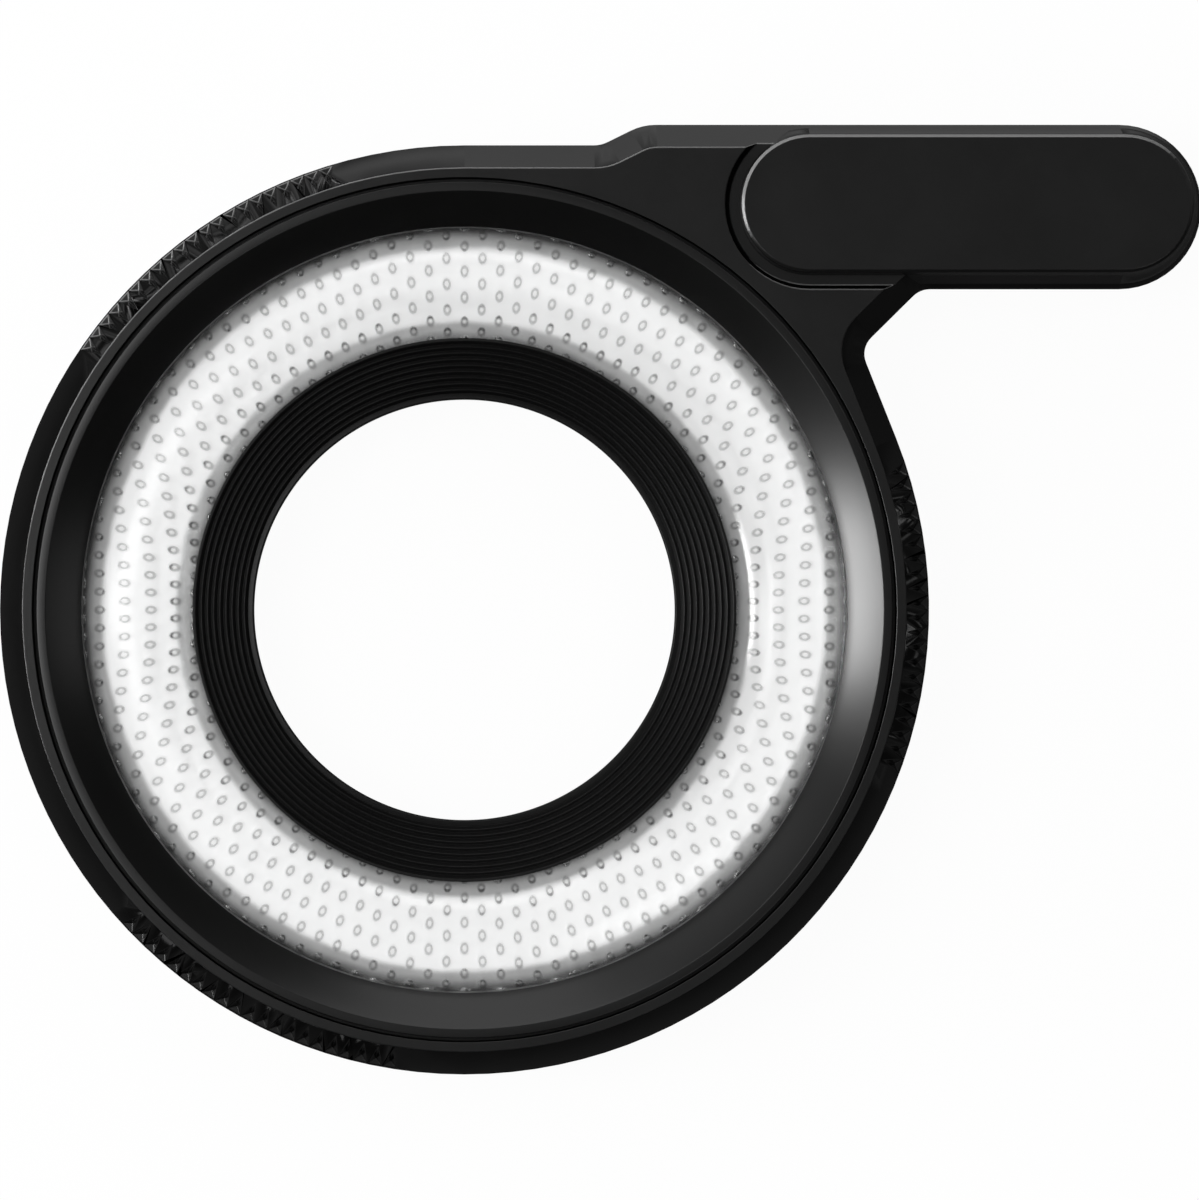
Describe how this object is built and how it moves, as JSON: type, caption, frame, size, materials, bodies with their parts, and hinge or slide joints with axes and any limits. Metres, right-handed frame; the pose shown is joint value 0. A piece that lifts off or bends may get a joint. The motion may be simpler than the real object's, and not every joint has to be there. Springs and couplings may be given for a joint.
{
  "type": "led light guide",
  "caption": "Ring-shaped light guide that turns onto a compact camera's lens collar and carries its LED lamp's light through a side arm to a clear ring round the lens.",
  "frame": {"origin": "on the ring's axis, in the rear mounting face that lies on the camera", "axes": "+Z along the ring's axis to the front, away from the camera; +X along the arm; +Y to the side of the ring that the arm is on"},
  "size_m": [0.0633, 0.0501, 0.0084],
  "materials": {
    "housing_black": "fine satin moulding grain",
    "cone_black": "satin, smoother than the housing",
    "clear_acrylic": "polished and clear",
    "baffle_black": "dead matt",
    "reflector_white": "matt white film",
    "cap_black": "fine satin moulding grain",
    "adhesive_film": "matt film",
    "foam_rubber": "fine closed-cell foam",
    "bayonet_black": "smooth, low friction",
    "spring_steel": "bright strip",
    "screw_steel": "black zinc"
  },
  "bodies": {
    "root": {"front_housing": "housing_black", "rear_cover": "housing_black", "cone_ring": "cone_black", "light_guide_ring": "clear_acrylic", "baffle_ring": "baffle_black", "guide_base": "baffle_black", "reflector_sheet": "reflector_white", "arm_cap": "cap_black", "cap_tape": "adhesive_film", "light_pipe": "clear_acrylic", "pipe_reflector": "reflector_white", "inlet_window": "clear_acrylic", "inlet_gasket": "foam_rubber", "bayonet_ring": "bayonet_black", "leaf_spring_1": "spring_steel", "leaf_spring_2": "spring_steel", "leaf_spring_3": "spring_steel", "stop_pin": "spring_steel", "bayonet_screws": "screw_steel", "arm_screws": "screw_steel"}
  },
  "joints": []
}
